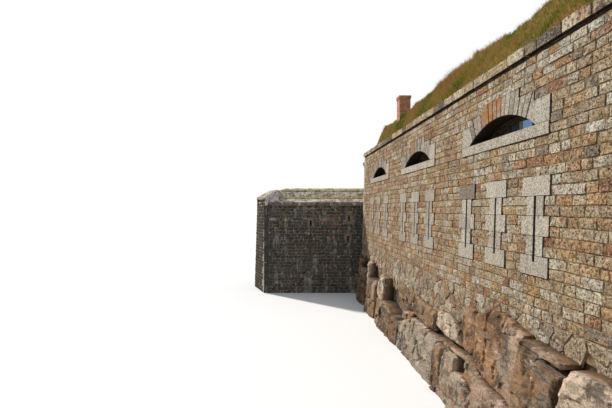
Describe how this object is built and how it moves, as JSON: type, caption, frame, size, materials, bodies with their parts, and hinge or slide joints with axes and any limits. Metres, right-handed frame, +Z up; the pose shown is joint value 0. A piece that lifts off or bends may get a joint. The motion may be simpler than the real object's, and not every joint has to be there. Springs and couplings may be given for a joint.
{
  "type": "masonry fort",
  "caption": "Granite fort front: vaulted casemates behind a loopholed ditch wall on bedrock, with an earth parapet, a chimney stack and a slab-roofed caponier",
  "frame": {"origin": "foot of the ditch wall, in the middle of the row of casemates, at the level of the ditch floor", "axes": "X along the ditch wall, with the caponier at the low end; Y into the fort; Z up"},
  "size_m": [33.02, 16.7, 11.9],
  "materials": {
    "coursed_granite": "matte",
    "rubble_granite": "matte",
    "dressed_granite": "matte",
    "coping_granite": "matte",
    "dark_granite": "matte",
    "slab_granite": "matte",
    "flagstone": "matte",
    "bedrock": "matte",
    "turf": "matte",
    "brick": "matte",
    "painted_timber": "matte",
    "window_glass": "gloss"
  },
  "bodies": {
    "root": {"scarp_base": "rubble_granite", "loophole_piers": "coursed_granite", "corner_piers": "coursed_granite", "upper_wall_1": "coursed_granite", "upper_wall_2": "coursed_granite", "upper_wall_3": "coursed_granite", "upper_wall_4": "coursed_granite", "loophole_jambs": "dressed_granite", "loophole_sills": "dressed_granite", "loophole_lintels": "dressed_granite", "lunette_surround_1": "dressed_granite", "lunette_surround_2": "dressed_granite", "lunette_surround_3": "dressed_granite", "lunette_surround_4": "dressed_granite", "rear_lunette_surrounds": "dressed_granite", "rear_door_surrounds": "dressed_granite", "front_coping": "coping_granite", "rear_coping": "coping_granite", "root_coping": "coping_granite", "casemate_vault_1": "coursed_granite", "casemate_vault_2": "coursed_granite", "casemate_vault_3": "coursed_granite", "casemate_vault_4": "coursed_granite", "cross_walls": "coursed_granite", "end_walls": "coursed_granite", "rear_plinth": "coursed_granite", "rear_piers": "coursed_granite", "rear_upper_wall": "coursed_granite", "root_block": "coursed_granite", "casemate_floor": "flagstone", "rock_ledge": "bedrock", "rock_core": "bedrock", "earth_parapet": "turf", "rampart_walk": "turf", "chimney_stack": "brick", "window_frames": "painted_timber", "window_glass": "window_glass", "caponier_flanks": "dark_granite", "caponier_nose": "dark_granite", "caponier_rear_wall": "dark_granite", "caponier_vault": "dark_granite", "caponier_floor": "flagstone", "caponier_coping": "slab_granite", "caponier_roof": "slab_granite", "caponier_loopholes": "dressed_granite"}
  },
  "joints": []
}
